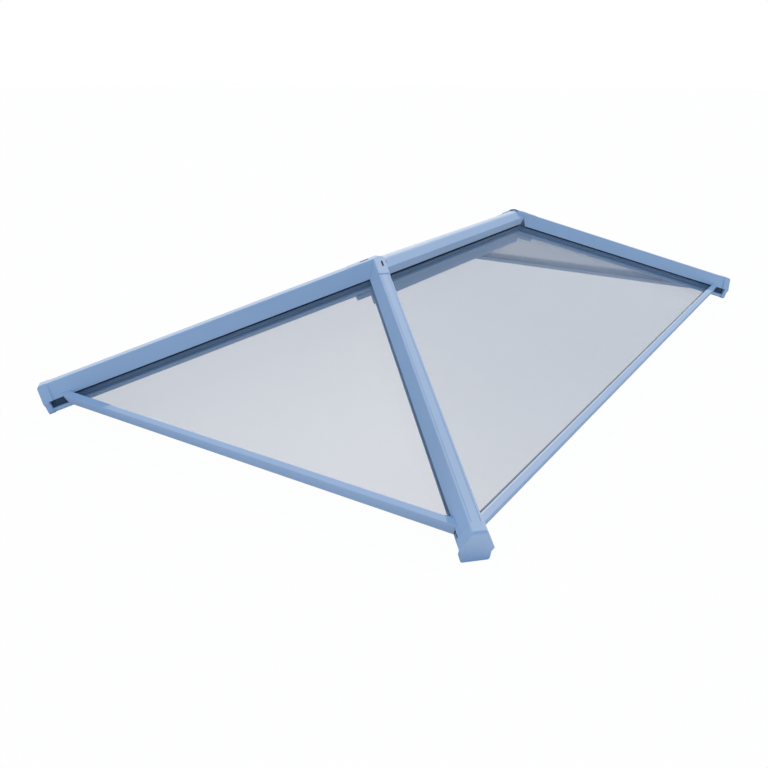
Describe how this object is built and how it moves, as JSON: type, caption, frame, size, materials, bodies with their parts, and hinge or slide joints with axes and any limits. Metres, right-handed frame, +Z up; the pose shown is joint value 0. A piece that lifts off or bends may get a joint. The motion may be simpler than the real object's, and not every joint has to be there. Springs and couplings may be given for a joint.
{
  "type": "roof lantern",
  "caption": "Fixed hipped roof lantern: slim powder-coated aluminium hips, ridge and eaves holding sealed glass units, to sit on an upstand over a flat-roof opening.",
  "frame": {"origin": "middle of the footprint, level with the lowest edges of the four hip end caps", "axes": "+X along the ridge to the right, +Y to the back, +Z up; front is -Y"},
  "size_m": [2.6776, 1.5976, 0.4562],
  "materials": {
    "frame_paint": "satin pale blue-white powder coat on aluminium extrusions",
    "moulding": "satin, coated to match the extrusions",
    "glass": "clear, faintly grey",
    "spacer": "matt black warm-edge spacer bar",
    "seal": "matt black"
  },
  "bodies": {
    "root": {"eaves_bar_back": "frame_paint", "eaves_bar_front": "frame_paint", "eaves_bar_left": "frame_paint", "eaves_bar_right": "frame_paint", "eaves_bead_back": "frame_paint", "eaves_bead_front": "frame_paint", "eaves_bead_left": "frame_paint", "eaves_bead_right": "frame_paint", "eaves_seals": "seal", "glass_inner_back": "glass", "glass_inner_front": "glass", "glass_inner_left": "glass", "glass_inner_right": "glass", "glass_outer_back": "glass", "glass_outer_front": "glass", "glass_outer_left": "glass", "glass_outer_right": "glass", "glass_spacer_back": "spacer", "glass_spacer_front": "spacer", "glass_spacer_left": "spacer", "glass_spacer_right": "spacer", "hip_cap_back_left": "frame_paint", "hip_cap_back_right": "frame_paint", "hip_cap_front_left": "frame_paint", "hip_cap_front_right": "frame_paint", "hip_end_cap_back_left": "moulding", "hip_end_cap_back_right": "moulding", "hip_end_cap_front_left": "moulding", "hip_end_cap_front_right": "moulding", "hip_rafter_back_left": "frame_paint", "hip_rafter_back_right": "frame_paint", "hip_rafter_front_left": "frame_paint", "hip_rafter_front_right": "frame_paint", "hip_seals": "seal", "ridge_beam": "frame_paint", "ridge_cap": "frame_paint", "ridge_end_boss_left": "frame_paint", "ridge_end_boss_right": "frame_paint", "ridge_end_cover_left": "moulding", "ridge_end_cover_right": "moulding", "ridge_seals": "seal"}
  },
  "joints": []
}
